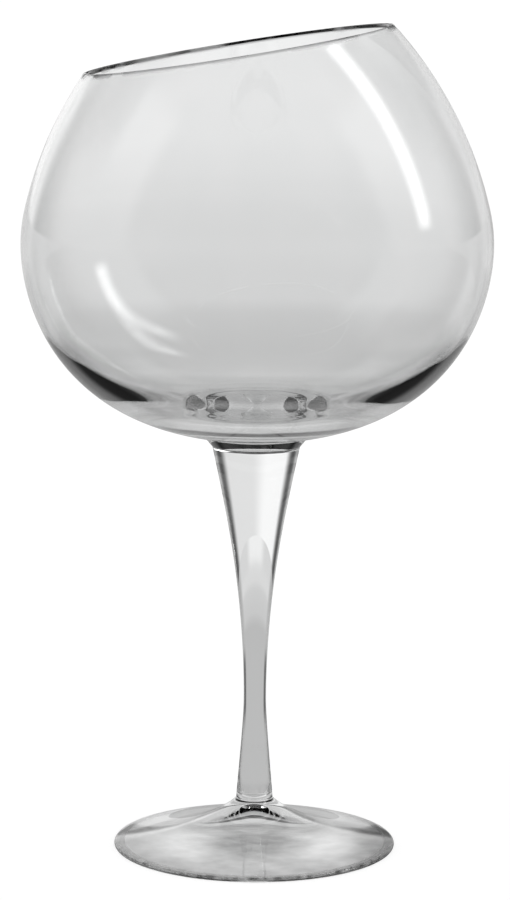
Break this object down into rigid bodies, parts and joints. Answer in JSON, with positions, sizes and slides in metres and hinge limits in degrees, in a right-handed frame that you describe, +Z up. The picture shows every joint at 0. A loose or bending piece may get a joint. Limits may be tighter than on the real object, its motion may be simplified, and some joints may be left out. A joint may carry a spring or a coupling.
{
  "type": "wine goblet",
  "caption": "Large clear glass wine goblet: a balloon bowl with a slanted mouth on a solid flared stem and a round foot.",
  "frame": {"origin": "centre of the flat ring on the underside of the foot, on the surface that the goblet stands on", "axes": "+Z up along the stem; +X towards the high side of the slanted mouth; +Y to the back"},
  "size_m": [0.1268, 0.1268, 0.2247],
  "materials": {
    "clear_glass": "fire-polished, smooth and colourless"
  },
  "bodies": {
    "root": {"foot": "clear_glass", "stem": "clear_glass", "bowl": "clear_glass"}
  },
  "joints": []
}
